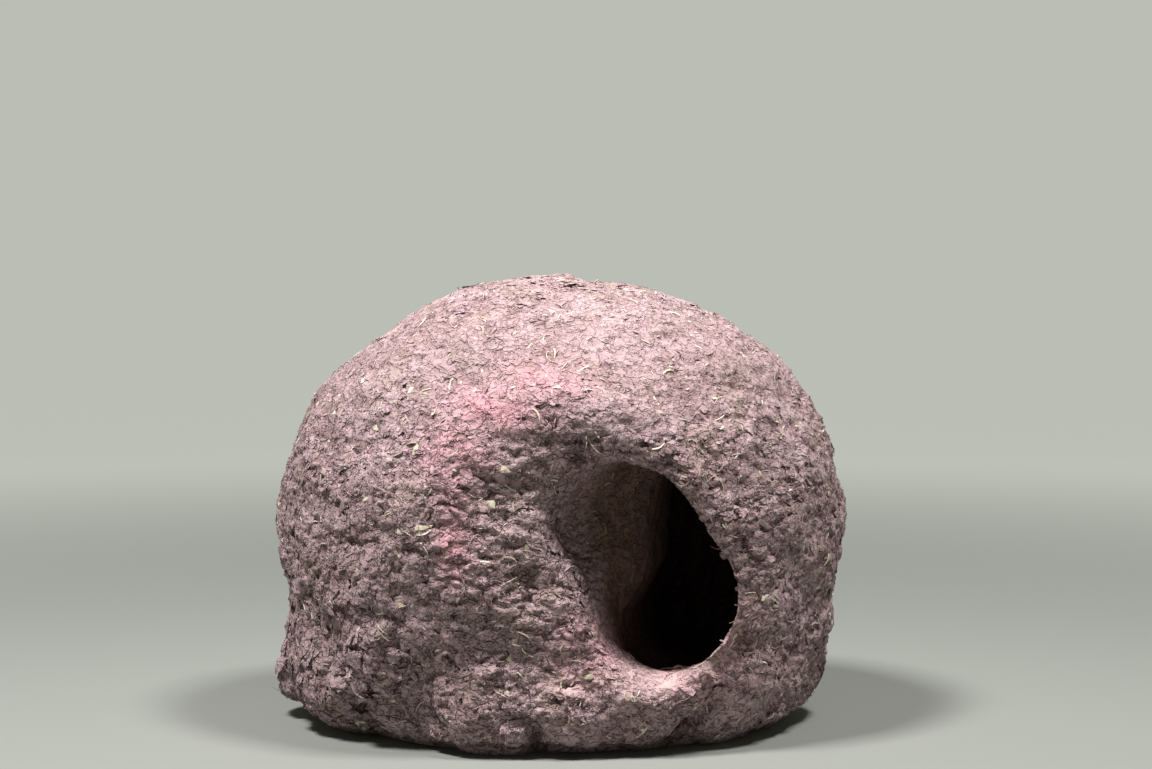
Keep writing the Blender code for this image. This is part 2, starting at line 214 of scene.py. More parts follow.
def clodRise(bearing, height):
    # each clod is a cap, steep below and thinned out above, and the highest one counts
    above, below = form["clodAbove"], form["clodBelow"]
    rise = np.zeros_like(height)
    for middle, level, halfBearing, halfSize, top in clods:
        up = height - level
        reach = halfSize * np.where(up > 0, above[0], below[0])
        left = np.clip(1 - (bearingBetween(bearing, middle) / halfBearing) ** 2 - (up / reach) ** 2, 0, 1)
        rise = np.maximum(rise, top * left ** np.where(up > 0, above[1], below[1]))
    return rise


def crackDepth(bearing, height):
    # bell-shaped groove about the straight line between the crack's two ends
    metresPerDegree = math.radians(form["halfDepth"])
    depth = np.zeros_like(height)
    for bearingA, heightA, bearingB, heightB, halfWidth, deep in cracks:
        x = bearingBetween(bearing, bearingA) * metresPerDegree
        z = height - heightA
        runX = (bearingB - bearingA) * metresPerDegree
        runZ = heightB - heightA
        share = np.clip((x * runX + z * runZ) / (runX ** 2 + runZ ** 2), 0, 1)
        distance = np.hypot(x - share * runX, z - share * runZ)
        depth = np.maximum(depth, deep * np.exp(-(distance / halfWidth) ** 2))
    return depth


def bells(bearing, height, spots):
    # sum of bell-shaped spots
    total = np.zeros_like(height)
    for middle, level, halfBearing, halfSize, most in spots:
        apart = bearingBetween(bearing, middle) / halfBearing
        total += most * np.exp(-apart ** 2 - ((height - level) / halfSize) ** 2)
    return total


def hollowDepth(x, height):
    # dip of rounded-square outline, steep at its top and gentle at its foot,
    # less a brow of bell-shaped section round its top
    p = (x - hollow["middle"][0]) / hollow["halfSize"][0]
    q = (height - hollow["middle"][1]) / hollow["halfSize"][1]
    power = hollow["squareness"]
    r = (np.abs(p) ** power + np.abs(q) ** power) ** (1 / power)
    steep = ease(*hollow["steepOver"], q)
    down = np.clip((hollow["middle"][1] - height) / hollow["drop"], 0, 1)
    gentle = (1 - ease(0.0, 1.0, np.abs(p))) * (1 - down ** 2)
    deep = hollow["deep"] * ((1 - steep) * gentle + steep * (1 - ease(hollow["edge"], 1.0, r)))
    return deep - hollow["brow"] * np.exp(-((r - hollow["browAt"]) / hollow["browWidth"]) ** 2) * steep


def turnUnder(points):
    # the foot's edge is drawn in, and what lies below height 0 slides along its ray to it
    under = np.clip(1 - points[..., 2] / form["footRound"], 0, 1) ** 2
    points[..., :2] *= (1 - form["footTuck"] * under)[..., None]
    share = np.minimum(1, centre[2] / np.maximum(centre[2] - points[..., 2], 1e-9))
    return centre + (points - centre) * share[..., None]


def domePoints(directions):
    # where rays from the dome's centre leave it:
    # ellipsoid + unevenness + swellings + clods - cracks - dents - hollow
    tall = halfHeight(directions[..., 2])
    reach = 1 / np.sqrt((directions[..., 0] / form["halfWidth"]) ** 2
                        + (directions[..., 1] / form["halfDepth"]) ** 2 + (directions[..., 2] / tall) ** 2)
    plain = centre + directions * reach[..., None]
    bearing = np.degrees(np.arctan2(plain[..., 0], -plain[..., 1]))
    height = plain[..., 2]
    rise = sum(high * lumps(plain, size, seed) for high, size, seed in form["unevenness"])
    rise += bells(bearing, height, swellings)
    sideways, upAndDown = form["waver"]
    roughBearing = bearing + sideways[0] * lumps(plain, *sideways[1:])
    roughHeight = height + upAndDown[0] * lumps(plain, *upAndDown[1:])
    rise += clodRise(roughBearing, roughHeight) - crackDepth(roughBearing, roughHeight)
    rise -= bells(roughBearing, roughHeight, dents)
    facingFront = ease(0.15, 0.5, -directions[..., 1])
    rise -= facingFront * hollowDepth(plain[..., 0], height)
    return turnUnder(centre + directions * (reach + rise)[..., None])


def keepWall(points):
    # draws points in to the ellipsoid that lies one wall inside the dome
    off = points - centre
    wall = form["wall"]
    inner = np.sqrt((off[..., 0] / (form["halfWidth"] - wall)) ** 2
                    + (off[..., 1] / (form["halfDepth"] - wall)) ** 2
                    + (off[..., 2] / (halfHeight(off[..., 2]) - wall)) ** 2)
    return centre + off / np.maximum(1, inner)[..., None]


def wayIn(share, turn):
    # rounded rectangles (superellipses, squarer at the floor) between the partition's side and the wall's
    near, far = along(room["partitionSide"], share), along(room["wallSide"], share)
    floor, ceiling = along(room["floor"], share), along(room["ceiling"], share)
    power = 2 / np.where(np.sin(turn) < 0, *room["squareness"])
    across = np.sign(np.cos(turn)) * np.abs(np.cos(turn)) ** power
    upwards = np.sign(np.sin(turn)) * np.abs(np.sin(turn)) ** power
    half = (far - near) / 2
    flat = ((near + far) / 2)[:, None, :] + half[:, None, :] * across[None, :, None]
    low = np.clip(-across, 0, 1) * ease(0.0, -0.6, upwards)
    setBack = room["footSet"] * (1 - ease(*room["footSetEnds"], share))[:, None] * low[None, :]
    flat -= unit(half)[:, None, :] * setBack[..., None]
    height = ((ceiling + floor) / 2)[:, None] + ((ceiling - floor) / 2)[:, None] * upwards[None, :]
    return keepWall(np.dstack([flat, height]))


def bridge(start, startWay, end, endWay, count, pull):
    # cubic curves that leave one ring and arrive at the next by the given ways
    gap = np.linalg.norm(end - start, axis=1)[:, None]
    first = start + unit(startWay) * gap * pull[0]
    second = end - unit(endWay) * gap * pull[1]
    share = np.linspace(0, 1, count + 2)[1:-1, None, None]
    rest = 1 - share
    return (rest ** 3 * start + 3 * rest ** 2 * share * first
            + 3 * rest * share ** 2 * second + share ** 3 * end)


# Numbers of points and rings; the room's rings lie closer together near the mouth, by this power
net = {"around": 720, "roomEnd": 6, "room": 60, "roomPower": 1.3, "innerLip": 34, "outerLip": 40, "dome": 330}


def nestNet():
    # rings from the room's far end, out through the mouth and over the dome to its back, on one grid.
    # depth says where a ring lies: 0 on the dome, 0 to 1 over the lip, 1 to 2 into the mouth, 3 in the room
    turn = np.arange(net["around"]) / net["around"] * 2 * math.pi
    inside = wayIn(np.linspace(0, 1, net["room"]) ** net["roomPower"], turn)
    last, middle = inside[-1], inside[-1].mean(axis=0)
    angle = (np.arange(1, net["roomEnd"]) / net["roomEnd"] * math.pi / 2)[:, None, None]
    farEnd = keepWall(middle + (last - middle) * np.cos(angle) + np.array(room["end"]) * np.sin(angle))
    deepest = keepWall(middle + np.array(room["end"]))

    reach, lip = around(mouth["reach"], turn), around(mouth["lip"], turn)
    right, up = np.cos(turn), np.sin(turn)
    rim = np.stack([mouth["x"] + reach * right, around(mouth["y"], turn), mouth["height"] + reach * up],
                   axis=-1)
    x = mouth["x"] + (reach + lip) * right
    z = mouth["height"] + (reach + lip) * up - form["belt"]
    y = -form["halfDepth"] * np.sqrt(1 - (x / form["halfWidth"]) ** 2 - (z / halfHeight(z)) ** 2)
    lipWay = unit(np.stack([x, y, z], axis=-1))
    ahead = unit(np.array([mouth["x"], y.mean(), mouth["height"] - form["belt"]]))
    lipAngle = np.arccos(lipWay @ ahead)
    side = unit(lipWay - np.cos(lipAngle)[:, None] * ahead)

    def ringAt(angle):
        return domePoints(np.cos(angle)[..., None] * ahead + np.sin(angle)[..., None] * side)

    lipRing = ringAt(lipAngle)
    justOutside = ringAt(lipAngle + 0.02)
    lean = np.clip(-right, 0, 1) * mouth["lean"][1] + mouth["lean"][0]
    inwards = np.stack([lean, np.ones_like(lean), np.zeros_like(lean)], axis=-1)
    outerLip = bridge(lipRing, lipRing - justOutside, rim, inwards, net["outerLip"], mouth["outerPull"])
    innerLip = bridge(rim, inwards, inside[0], inside[1] - inside[0], net["innerLip"], mouth["innerPull"])
    share = (np.arange(1, net["dome"]) / net["dome"])[:, None]
    overDome = ringAt(lipAngle + (math.pi - lipAngle) * share)
    back = domePoints(-ahead)
    rings = np.concatenate([farEnd[::-1], inside[::-1], innerLip[::-1], rim[None], outerLip[::-1],
                            lipRing[None], overDome])
    depth = np.concatenate([
        np.full(len(farEnd) + len(inside), 3.0),
        np.linspace(3, 1, len(innerLip) + 2)[1:-1],
        [1.0],
        np.linspace(1, 0, len(outerLip) + 2)[1:-1],
        np.zeros(1 + len(overDome)),
    ])
    return rings, depth, turn, deepest, back


rings, ringDepth, ringTurn, deepest, back = nestNet()
shift = np.array([*form["shift"], 0.0])
rings, deepest, back = rings + shift, deepest + shift, back + shift
print("form laid out:", rings.shape[0], "rings of", rings.shape[1], "points")


def gridNormals(grid):
    # cross product of the way along the rings' run and the way round them
    alongRun = np.gradient(grid, axis=0)
    roundRing = np.roll(grid, -1, axis=1) - np.roll(grid, 1, axis=1)
    return unit(np.cross(alongRun, roundRing))


# Rough surface of the mud
rough = {
    "seed": 11,
    "warp": (0.0022, 0.007),  # how far, and over what size, the pattern is pushed about
    "flatter": (1.0, 1.0, 1.5),  # the plates are wider than they are tall
    "plates": ((0.0120, 0.0010, 1), (0.0062, 0.0011, 2), (0.0033, 0.0008, 3)),  # size, height, seed
    "plateTilt": (0.6, 0.65),  # at random in all ways, and always downwards
    "plateReach": (0.60, 0.38),  # least, and how much more at random, in cells
    "plateSteps": 0.9,  # random height of a plate's middle
    "plateEdge": 0.9,  # how steeply a plate ends
    "plateMean": 0.25,  # taken off, so that plates neither raise nor sink the skin on the whole
    "spotSpread": 0.85,  # how much of its cell a random spot may lie in
    "softLumps": (0.0007, 0.016),
    "pits": ((0.0095, 0.0011, 0.0018, 4), (0.017, 0.0020, 0.0022, 5)),  # spacing, radius, depth, seed
    "pitWidth": (0.5, 0.8),  # least, and how much more at random, as shares of the radius
    "pitShare": 0.33,  # of the cells that have one
    "smoothWhereWorn": 0.6,
    "fullRelief": 0.0018,  # height that counts as a crest
    "sink": 0.0013,  # mean depth below the solid's surface, so that crests stay inside its box
}
crevices = (  # on the front: x and height of the middle, half sizes, depth
    (0.0294, 0.1355, 0.0055, 0.0017, 0.0042),
    (0.0198, 0.1362, 0.0032, 0.0016, 0.0032),
    (0.0084, 0.1322, 0.0048, 0.0016, 0.0028),
    (0.0092, 0.1412, 0.0036, 0.0018, 0.0026),
    (-0.0035, 0.1420, 0.0036, 0.0015, 0.0022),
    (0.0369, 0.1399, 0.0032, 0.0013, 0.0026),
    (0.0662, 0.1197, 0.0042, 0.0014, 0.0028),
    (0.0816, 0.0938, 0.0045, 0.0050, 0.0026),
    (0.0031, 0.0338, 0.0050, 0.0010, 0.0028),
    (0.0070, 0.0715, 0.0016, 0.0013, 0.0022),
    (-0.0300, 0.0900, 0.0030, 0.0014, 0.0020),
    (-0.0465, 0.0640, 0.0040, 0.0014, 0.0022),
    (-0.0846, 0.0290, 0.0034, 0.0060, 0.0036),
    (-0.0700, 0.0395, 0.0085, 0.0040, 0.0030),
    (-0.1035, 0.0820, 0.0036, 0.0019, 0.0026),
    (-0.1066, 0.0590, 0.0030, 0.0020, 0.0022),
    (-0.0947, 0.0470, 0.0026, 0.0032, 0.0026),
)
creviceWaver = (0.0012, 0.0010, 0.004)  # sideways, up and down, size
frontLine = -0.05  # crevices and the sill lie in front of this y
tableSide = 32  # the random tables below repeat after this many cells


def nearestCells(points, size, seed, count):
    # for each of the 27 cells round a point:
    # the offset from that cell's own random spot, and its random numbers
    table = np.random.default_rng(rough["seed"] * 100 + seed).random((tableSide,) * 3 + (3 + count,))
    table = table.astype(np.float32)
    scaled = (points / size).astype(np.float32)
    base = np.floor(scaled).astype(np.int32)
    for number in range(27):
        cell = base + np.array([number % 3 - 1, number // 3 % 3 - 1, number // 9 - 1], np.int32)
        known = table[cell[:, 0] % tableSide, cell[:, 1] % tableSide, cell[:, 2] % tableSide]
        yield scaled - (cell + 0.5 + rough["spotSpread"] * (known[:, :3] - 0.5)), known[:, 3:]


def plates(points, size, seed):
    # overlapping plates, tilted so that most stand out at their lower edge; the highest counts:
    # own level + tilt . offset - (distance / reach)^6
    anyWay, downwards = rough["plateTilt"]
    least, more = rough["plateReach"]
    best = np.full(len(points), -9.0, np.float32)
    for offset, own in nearestCells(points, size, seed, 5):
        tilt = (own[:, :3] * 2 - 1) * anyWay + np.array([0.0, 0.0, -downwards], np.float32)
        distance = np.sqrt((offset ** 2).sum(axis=1)) / (least + more * own[:, 3])
        level = rough["plateSteps"] * (own[:, 4] - 0.5)
        height = level + (tilt * offset).sum(axis=1) - rough["plateEdge"] * distance ** 6
        best = np.maximum(best, height)
    return np.clip(best, -1.2, 1.0)


def pits(points, spacing, radius, seed):
    # round holes, one in about every third cell: depth = exp(-(distance / radius)^4)
    least, more = rough["pitWidth"]
    deepestHere = np.zeros(len(points), np.float32)
    for offset, own in nearestCells(points, spacing, seed, 2):
        wide = radius / spacing * (least + more * own[:, 0])
        depth = np.exp(-((offset ** 2).sum(axis=1) / wide ** 2) ** 2) * (own[:, 1] < rough["pitShare"])
        deepestHere = np.maximum(deepestHere, depth)
    return deepestHere


# Where the clay is pinker, and where it is worn smooth and painted paler as a highlight on the up-facing
# sill, as seen from the front:
# x, height, half sizes, strength
pinkSpots = (
    (-0.009, 0.167, 0.020, 0.008, 0.9),
    (-0.026, 0.154, 0.022, 0.011, 1.0),
    (-0.046, 0.137, 0.014, 0.014, 1.0),
    (-0.046, 0.103, 0.008, 0.024, 0.7),
    (0.013, 0.045, 0.014, 0.018, 0.7),
    (0.076, 0.050, 0.008, 0.013, 0.7),
    (0.061, 0.033, 0.020, 0.007, 0.5),
)
wornAndHighlitSpots = (
    (0.006, 0.0325, 0.014, 0.0034, 0.9),
    (0.020, 0.0355, 0.024, 0.0050, 1.0),
    (0.045, 0.0330, 0.022, 0.0060, 1.0),
    (0.068, 0.0400, 0.013, 0.0080, 1.0),
    (0.079, 0.0540, 0.007, 0.0110, 0.9),
)


def spotted(points, spots, seed):
    # bell-shaped spots on the front half, broken up by lumps of 12 mm
    front = ease(0.0, -0.05, points[:, 1])
    most = np.zeros(len(points))
    for x, z, halfX, halfZ, strongest in spots:
        apart = ((points[:, 0] - x) / halfX) ** 2 + ((points[:, 2] - z) / halfZ) ** 2
        most = np.maximum(most, strongest * np.exp(-apart))
    return np.clip(most * front * (0.8 + 0.5 * lumps(points, 0.012, seed)), 0, 1)


sill = {
    "x": 0.046,
    "height": 0.0405,
    "curve": 6.0,  # how fast its edge rises away from x
    "halfHeight": 0.0085,
    "deep": 0.0036,
    "left": (0.004, 0.016),  # the dip fades in between these x
    "right": (0.092, 0.078),
}


def sillDip(points):
    # the sill's inner edge is sunk by a bell-shaped dip, so that its top slopes outwards
    middle = sill["height"] + sill["curve"] * (points[:, 0] - sill["x"]) ** 2
    wide = ease(*sill["left"], points[:, 0]) * ease(*sill["right"], points[:, 0])
    dip = sill["deep"] * np.exp(-((points[:, 2] - middle) / sill["halfHeight"]) ** 2)
    return dip * wide * (points[:, 1] < frontLine)


def creviceDepth(points):
    # flat-bottomed, steep-sided dips: depth . exp(-(distance in half sizes)^4), wavering
    sideways, upAndDown, size = creviceWaver
    x = points[:, 0] + sideways * lumps(points, size, 61)
    z = points[:, 2] + upAndDown * lumps(points, size, 62)
    depth = np.zeros(len(points))
    for middleX, middleZ, halfX, halfZ, deep in crevices:
        apart = ((x - middleX) / halfX) ** 2 + ((z - middleZ) / halfZ) ** 2
        depth = np.maximum(depth, deep * np.exp(-apart ** 2))
    return depth * (points[:, 1] < frontLine)


coarser = {"crown": -0.45, "lowLeft": 0.40, "patches": 0.22, "patchSize": 0.030}


def coarseness(points):
    # 1 on the whole; less over the crown, more low on the left, and uneven in patches
    x, z = points[..., 0], points[..., 2]
    crown = ease(0.10, 0.19, z)
    lowLeft = ease(0.02, -0.09, x) * ease(0.11, 0.05, z)
    patches = lumps(points, coarser["patchSize"], 51)
    return 1 + coarser["crown"] * crown + coarser["lowLeft"] * lowLeft + coarser["patches"] * patches


def roughness(points):
    # height of the rough mud above the smooth form, and its relief from -1 in hollows to 1 on crests
    push = np.stack([lumps(points, rough["warp"][1], 20 + axis) for axis in range(3)], axis=-1)
    moved = (points + rough["warp"][0] * push) * np.array(rough["flatter"])
    height = rough["softLumps"][0] * lumps(points, rough["softLumps"][1], 31)
    for size, high, seed in rough["plates"]:
        height = height + high * (plates(moved, size, seed) - rough["plateMean"])
    for spacing, radius, deep, seed in rough["pits"]:
        height = height - deep * pits(points, spacing, radius, seed)
    height = height * coarseness(points) * (1 - rough["smoothWhereWorn"] * spotted(points, wornAndHighlitSpots, 42))
    height -= creviceDepth(points)
    height -= sillDip(points)
    return height, np.clip(height / rough["fullRelief"], -1.2, 1)


calmMouth = {  # places from 0 on the dome to 3 in the room, where the roughness weakens
    "starts": 0.75,
    "sillSooner": 0.75,
    "rightSooner": 0.25,
    "over": 0.5,
    "byMouth": 0.62,
    "byRoom": 0.10,
}


def strengthOfRoughness(depth, turn):
    # full on the dome and up to the mouth's rim, sooner weak at the sill and the right; weaker in the mouth
    atSill = ease(-0.35, -0.85, np.sin(turn))[None, :]
    atRight = ease(0.3, 0.8, np.cos(turn))[None, :]
    start = (calmMouth["starts"] - calmMouth["sillSooner"] * atSill
             - calmMouth["rightSooner"] * atRight * (1 - atSill))
    over = ease(start, start + calmMouth["over"], depth[:, None])
    return 1 - calmMouth["byMouth"] * over - calmMouth["byRoom"] * ease(1.5, 3.0, depth[:, None])


normals = gridNormals(rings)
strength = strengthOfRoughness(ringDepth, ringTurn) * ease(0.0, 0.003, rings[..., 2])
height, relief = roughness(rings.reshape(-1, 3))
height, relief = height.reshape(strength.shape), relief.reshape(strength.shape)
surface = rings + normals * ((height - rough["sink"]) * strength)[..., None]
boxLow, boxHigh = np.array(cadBox[0]), np.array(cadBox[1])
boxMargin = 0.0001


def insideBox(points):
    # drawn in to the solid's box, less a small margin
    return np.clip(points, boxLow + boxMargin, boxHigh - boxMargin)


surface = insideBox(surface)
surface[..., 2] = np.where(rings[..., 2] <= 1e-6, 0.0, surface[..., 2])
pointDepth = np.repeat(ringDepth, surface.shape[1])
print("rough mud worked out")


def setValues(mesh, name, values):
    attribute = mesh.attributes.new(name, "FLOAT", "POINT")
    attribute.data.foreach_set("value", np.asarray(values, np.float32).ravel())


def newPiece(name, vertices, faces, material, values, smooth):
    mesh = bpy.data.meshes.new(name)
    mesh.from_pydata(vertices, [], faces)
    for key in values:
        setValues(mesh, key, values[key])
    mesh.polygons.foreach_set("use_smooth", np.full(len(mesh.polygons), smooth))
    mesh.materials.append(material)
    piece = bpy.data.objects.new(name, mesh)
    bpy.context.scene.collection.objects.link(piece)
    return piece


# Shader maths
class Value:
    # wraps one socket, so that + - * / ** on it add Math nodes
    def __init__(self, shader, socket):
        self.shader = shader
        self.socket = socket

    def maths(self, operation, first, second):
        node = self.shader.node("ShaderNodeMath", {"operation": operation}, {0: first, 1: second})
        return Value(self.shader, node.outputs[0])

    def __add__(self, other):
        return self.maths("ADD", self, other)

    def __radd__(self, other):
        return self.maths("ADD", other, self)

    def __sub__(self, other):
        return self.maths("SUBTRACT", self, other)

    def __rsub__(self, other):
        return self.maths("SUBTRACT", other, self)

    def __mul__(self, other):
        return self.maths("MULTIPLY", self, other)

    def __rmul__(self, other):
        return self.maths("MULTIPLY", other, self)

    def __pow__(self, other):
        return self.maths("POWER", self, other)

    def off(self, level):
        # how far the value is from a level
        return self.maths("ABSOLUTE", self - level, 0.0)


class Shader:
    # one material's node tree
    def __init__(self, name):
        self.material = bpy.data.materials.new(name)
        self.material.use_nodes = True
        self.tree = self.material.node_tree
        self.finish = self.tree.nodes["Principled BSDF"]
        self.place = self.node("ShaderNodeTexCoord").outputs["Object"]

    def node(self, kind, settings=None, sockets=None):
        made = self.tree.nodes.new(kind)
        for key, value in (settings or {}).items():
            if key == "stops":
                self.setStops(made, value)
            else:
                setattr(made, key, value)
        for key, value in (sockets or {}).items():
            self.feed(made.inputs[key], value)
        return made

    def setStops(self, made, stops):
        ramp = made.color_ramp
        while len(ramp.elements) > 1:
            ramp.elements.remove(ramp.elements[-1])
        ramp.elements[0].position, ramp.elements[0].color = stops[0]
        for position, colour in stops[1:]:
            ramp.elements.new(position).color = colour

    def feed(self, socket, value):
        if isinstance(value, Value):
            self.tree.links.new(value.socket, socket)
        elif isinstance(value, bpy.types.NodeSocket):
            self.tree.links.new(value, socket)
        else:
            socket.default_value = value

    def attribute(self, name):
        return Value(self, self.node("ShaderNodeAttribute", {"attribute_name": name}).outputs["Fac"])

    def noise(self, size, detail=2.0, stretch=None):
        place = self.place
        if stretch:
            place = self.node("ShaderNodeMapping", None, {"Vector": place, "Scale": stretch}).outputs[0]
        made = self.node("ShaderNodeTexNoise", None, {"Vector": place, "Scale": 1 / size, "Detail": detail})
        return Value(self, made.outputs["Fac"])

    def between(self, low, high, value):
        made = self.node("ShaderNodeMapRange", {"interpolation_type": "SMOOTHSTEP"},
                         {"Value": value, "From Min": low, "From Max": high})
        return Value(self, made.outputs[0])

    def mix(self, share, first, second):
        made = self.node("ShaderNodeMix", {"data_type": "RGBA"}, {0: share, 6: first, 7: second})
        return made.outputs[2]

    def bump(self, height, strength, distance):
        made = self.node("ShaderNodeBump", None,
                         {"Height": height, "Strength": strength, "Distance": distance})
        return made.outputs[0]


mudColours = {
    # painted shadow: the colour of the creases and of the deepest hollows on the ramp
    "deep": (0.070, 0.042, 0.040, 1),
    # darker mud, and painted shade in hollows
    "darkMudAndShade": (0.240, 0.153, 0.152, 1),
    "plain": (0.405, 0.283, 0.291, 1),
    # paler mud, and a painted highlight on crests
    "paleMudAndHighlight": (0.490, 0.374, 0.383, 1),
    "pink": (0.590, 0.275, 0.320, 1),
    "ochre": (0.335, 0.255, 0.210, 1),
    # paler mud where worn smooth, and a painted highlight on the up-facing sill
    "worn": (0.600, 0.425, 0.415, 1),
    # browner mud of the lining, darkened further as painted shade in the mouth's hollow
    "inside": (0.095, 0.052, 0.036, 1),
    "insidePale": (0.190, 0.108, 0.072, 1),
    "dust": (0.640, 0.550, 0.480, 1),
}
mudGrain = {  # sizes of the patterns, from patches of colour to single grains, and the bump's height
    "patches": 0.030,
    "ochre": 0.018,
    "where": 0.010,
    "broad": 0.0060,
    "streaks": 0.0050,
    "fine": 0.0026,
    "flecks": 0.0017,
    "grit": 0.0008,
    "bump": 0.0018,
}


def mudMaterial():
    mud = Shader("driedMud")
    relief = mud.attribute("relief")
    inside = mud.attribute("inside")
    pink = mud.attribute("pink")
    worn = mud.attribute("worn")
    patches = mud.noise(mudGrain["patches"], 2)
    broad = mud.noise(mudGrain["broad"], 3, (1.0, 1.0, 1.3))
    fine = mud.noise(mudGrain["fine"], 2, (1.0, 1.0, 1.2))
    grit = mud.noise(mudGrain["grit"], 2)
    where = mud.noise(mudGrain["where"], 1)

    # Ledges: the height steps up where a noise passes a level, with short creases at their feet, sunk in the
    # bump and painted dark as their shadow
    ledge = mud.between(0.482, 0.515, broad)
    smallLedge = mud.between(0.470, 0.515, fine)
    creaseShadow = (1 - mud.between(0.0, 0.020, broad.off(0.468))) * mud.between(0.50, 0.60, where)
    smallCreaseShadow = (1 - mud.between(0.0, 0.030, fine.off(0.450))) * mud.between(0.56, 0.44, where)
    crown = mud.between(0.11, 0.19, mud.node("ShaderNodeSeparateXYZ", None, {0: mud.place}).outputs["Z"])
    # painted shadow in the creases at the ledges' feet, also sunk in the bump; weaker on the sill's smoothed
    # spots and over the crown
    dark = (creaseShadow + smallCreaseShadow * 0.8) * (1 - worn * 0.9) * (1 - crown * 0.45)

    # Colour: a ramp from dark to pale over the relief and the patterns, then the tints. Over the relief the
    # ramp is painted shade in hollows and a painted highlight on crests and on the raised side of the ledges;
    # over the patches and grit it is the mud's own uneven tone
    level = (0.50 + relief * 0.17 + (ledge - 0.5) * 0.05 + (smallLedge - 0.5) * 0.06 + (grit - 0.5) * 0.24
             + (patches - 0.5) * 0.34)
    ramp = mud.node("ShaderNodeValToRGB", {"stops": (
        (0.10, mudColours["deep"]), (0.30, mudColours["darkMudAndShade"]), (0.50, mudColours["plain"]),
        (0.80, mudColours["paleMudAndHighlight"]))}, {0: level})
    ochre = mud.between(0.52, 0.70, mud.noise(mudGrain["ochre"], 2)) * 0.35
    colour = mud.mix(ochre, ramp.outputs[0], mudColours["ochre"])
    colour = mud.mix(pink * mud.between(0.20, 0.55, level) * 0.85, colour, mudColours["pink"])
    flecks = mud.between(0.69, 0.73, mud.noise(mudGrain["flecks"], 1)) * 0.5 * (1 - inside)
    colour = mud.mix(flecks, colour, mudColours["dust"])
    # painted highlight: the sill's smoothed spots are mixed paler
    colour = mud.mix(worn * mud.between(0.30, 0.50, level) * 0.8, colour, mudColours["worn"])
    # painted shadow: the creases are mixed towards the darkest colour, less inside the mouth
    colour = mud.mix(dark * (0.55 - inside * 0.3), colour, mudColours["deep"])

    streaks = mud.between(0.42, 0.62, mud.noise(mudGrain["streaks"], 2, (1.0, 1.0, 0.45)))
    lining = mud.mix(streaks * 0.8, mudColours["inside"], mudColours["insidePale"])
    # painted shade: the way in and the room take the dark lining, which is browner mud and painted shade
    # together
    colour = mud.mix(inside * 0.9, colour, lining)
    mud.feed(mud.finish.inputs["Base Color"], colour)
    mud.finish.inputs["Roughness"].default_value = 0.93
    mud.finish.inputs["Specular IOR Level"].default_value = 0.2

    height = broad * 0.8 + ledge * 0.50 + fine * 0.34 + smallLedge * 0.30 + grit * 0.12 - dark * 0.45
    calm = 1 - worn * 0.70 - inside * 0.30 - crown * 0.35
    mud.feed(mud.finish.inputs["Normal"], mud.bump(height * calm, 1.0, mudGrain["bump"]))
    return mud.material


strawColours = {
    "dark": (0.360, 0.285, 0.230, 1),
    "plain": (0.560, 0.490, 0.350, 1),
    "yellow": (0.660, 0.610, 0.430, 1),
    "pale": (0.800, 0.740, 0.610, 1),
    "stain": (0.330, 0.230, 0.215, 1),
}
strawGrain = {"stain": 0.002, "grooves": 0.0003, "bump": 0.0002}


def strawMaterial():
    straw = Shader("dryStraw")
    tone = straw.attribute("tone")
    ramp = straw.node("ShaderNodeValToRGB", {"stops": (
        (0.0, strawColours["dark"]), (0.35, strawColours["plain"]), (0.65, strawColours["yellow"]),
        (1.0, strawColours["pale"]))}, {0: tone})
    stain = straw.between(0.45, 0.62, straw.noise(strawGrain["stain"], 3)) * 0.5
    colour = straw.mix(stain, ramp.outputs[0], strawColours["stain"])
    # painted shade: straws inside the mouth are mixed towards the dark lining
    colour = straw.mix(straw.attribute("inside") * 0.6, colour, mudColours["inside"])
    straw.feed(straw.finish.inputs["Base Color"], colour)
    straw.finish.inputs["Roughness"].default_value = 0.62
    grooves = straw.noise(strawGrain["grooves"], 2)
    straw.feed(straw.finish.inputs["Normal"], straw.bump(grooves, 0.4, strawGrain["bump"]))
    return straw.material


finishes = {"dried_mud": mudMaterial(), "straw": strawMaterial()}
print("finishes made")

# Body: the rough skin, thinned to fewer faces where it is smooth
body = {"faces": 196000}


def closedFaces(rows, columns):
    # quads between neighbouring rings and a fan at each end, all facing out
    row = np.arange(rows - 1)[:, None] * columns
    here = np.arange(columns)
    after = (here + 1) % columns
    quads = np.stack([row + here, row + columns + here, row + columns + after, row + after], axis=-1)
    first, second, final = rows * columns, rows * columns + 1, (rows - 1) * columns
    fans = np.concatenate([
        np.stack([np.full(columns, first), here, after], axis=-1),
        np.stack([np.full(columns, second), final + after, final + here], axis=-1),
    ])
    return quads.reshape(-1, 4).tolist() + fans.tolist()


def thinned(piece, faces):
    fewer = piece.modifiers.new("fewerFaces", "DECIMATE")
    fewer.ratio = faces / sum(len(face.vertices) - 2 for face in piece.data.polygons)
    graph = bpy.context.evaluated_depsgraph_get()
    mesh = bpy.data.meshes.new_from_object(piece.evaluated_get(graph))
    piece.modifiers.clear()
    old = piece.data
    piece.data = mesh
    bpy.data.meshes.remove(old)
    mesh.name = piece.name
    return piece


def insideness(depth):
    # 0 on the dome, 1 from inside the mouth on
    return ease(0.75, 1.7, depth)


def makeBody():
    # the rings, and one more point at each end: the room's deepest one and the dome's back
    vertices = np.vstack([surface.reshape(-1, 3), deepest, back])
    values = {
        "relief": np.append(relief.ravel() * strength.ravel(), [0, 0]),
        "inside": np.append(insideness(pointDepth), [1, 0]),
        "pink": spotted(vertices, pinkSpots, 41),
        "worn": spotted(vertices, wornAndHighlitSpots, 42),
    }
    faces = closedFaces(*surface.shape[:2])
    piece = newPiece("mudBody", vertices, faces, finishes["dried_mud"], values, True)
    return thinned(piece, body["faces"])


